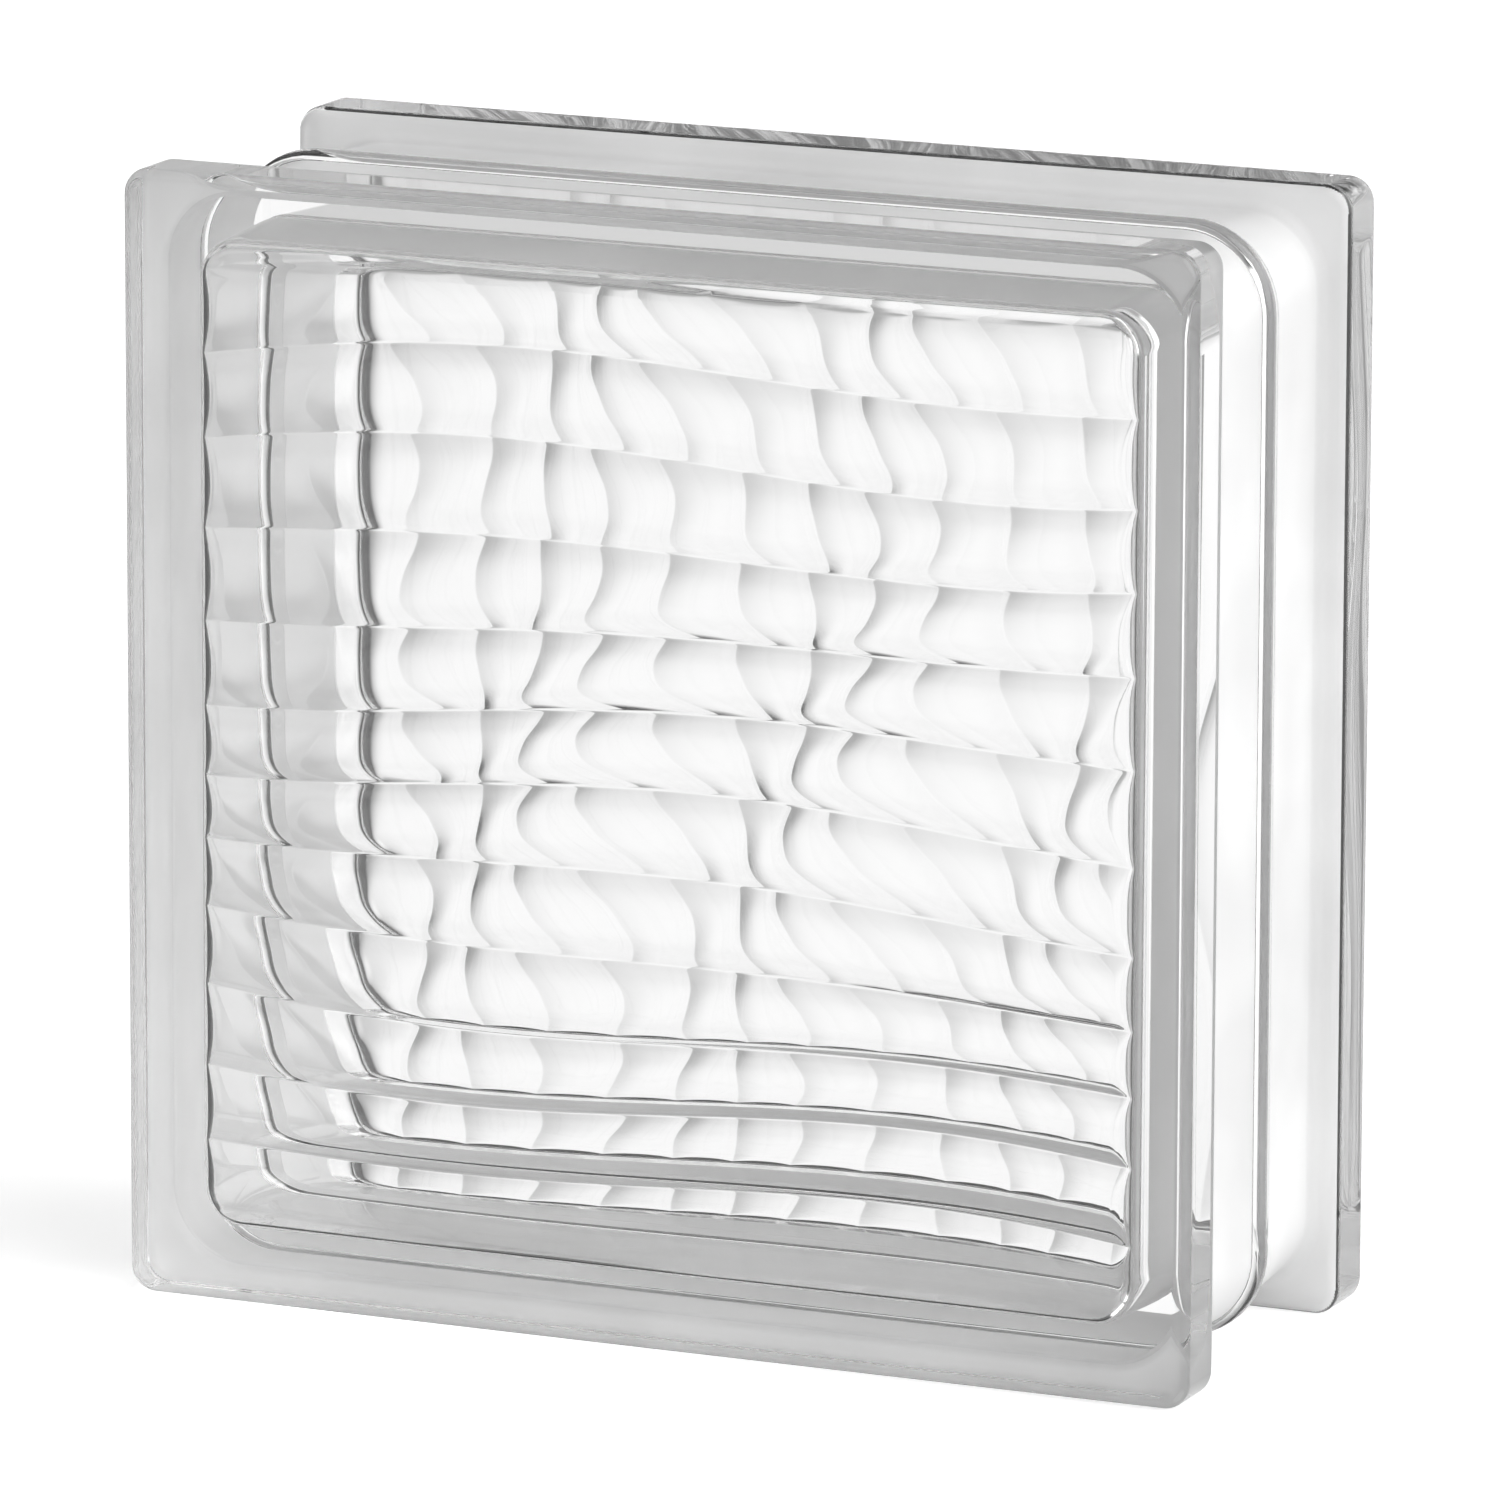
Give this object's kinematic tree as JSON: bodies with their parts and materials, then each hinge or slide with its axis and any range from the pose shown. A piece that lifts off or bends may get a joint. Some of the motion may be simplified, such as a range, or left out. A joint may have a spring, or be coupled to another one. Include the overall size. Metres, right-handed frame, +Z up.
{
  "type": "glass block",
  "caption": "Square hollow clear glass block with flanged faces, mortar channels round its edge and crossed wavy flutes inside.",
  "frame": {"origin": "middle of the base, on the level floor that the two flanges stand on, midway between the faces", "axes": "+Z up; -Y out of the front face, whose flutes run level; +X to the right seen from the front"},
  "size_m": [0.19, 0.08, 0.19],
  "materials": {
    "clear_glass": "fire-polished clear pressed glass, colourless"
  },
  "bodies": {
    "root": {"front_half_shell": "clear_glass", "rear_half_shell": "clear_glass"}
  },
  "joints": []
}
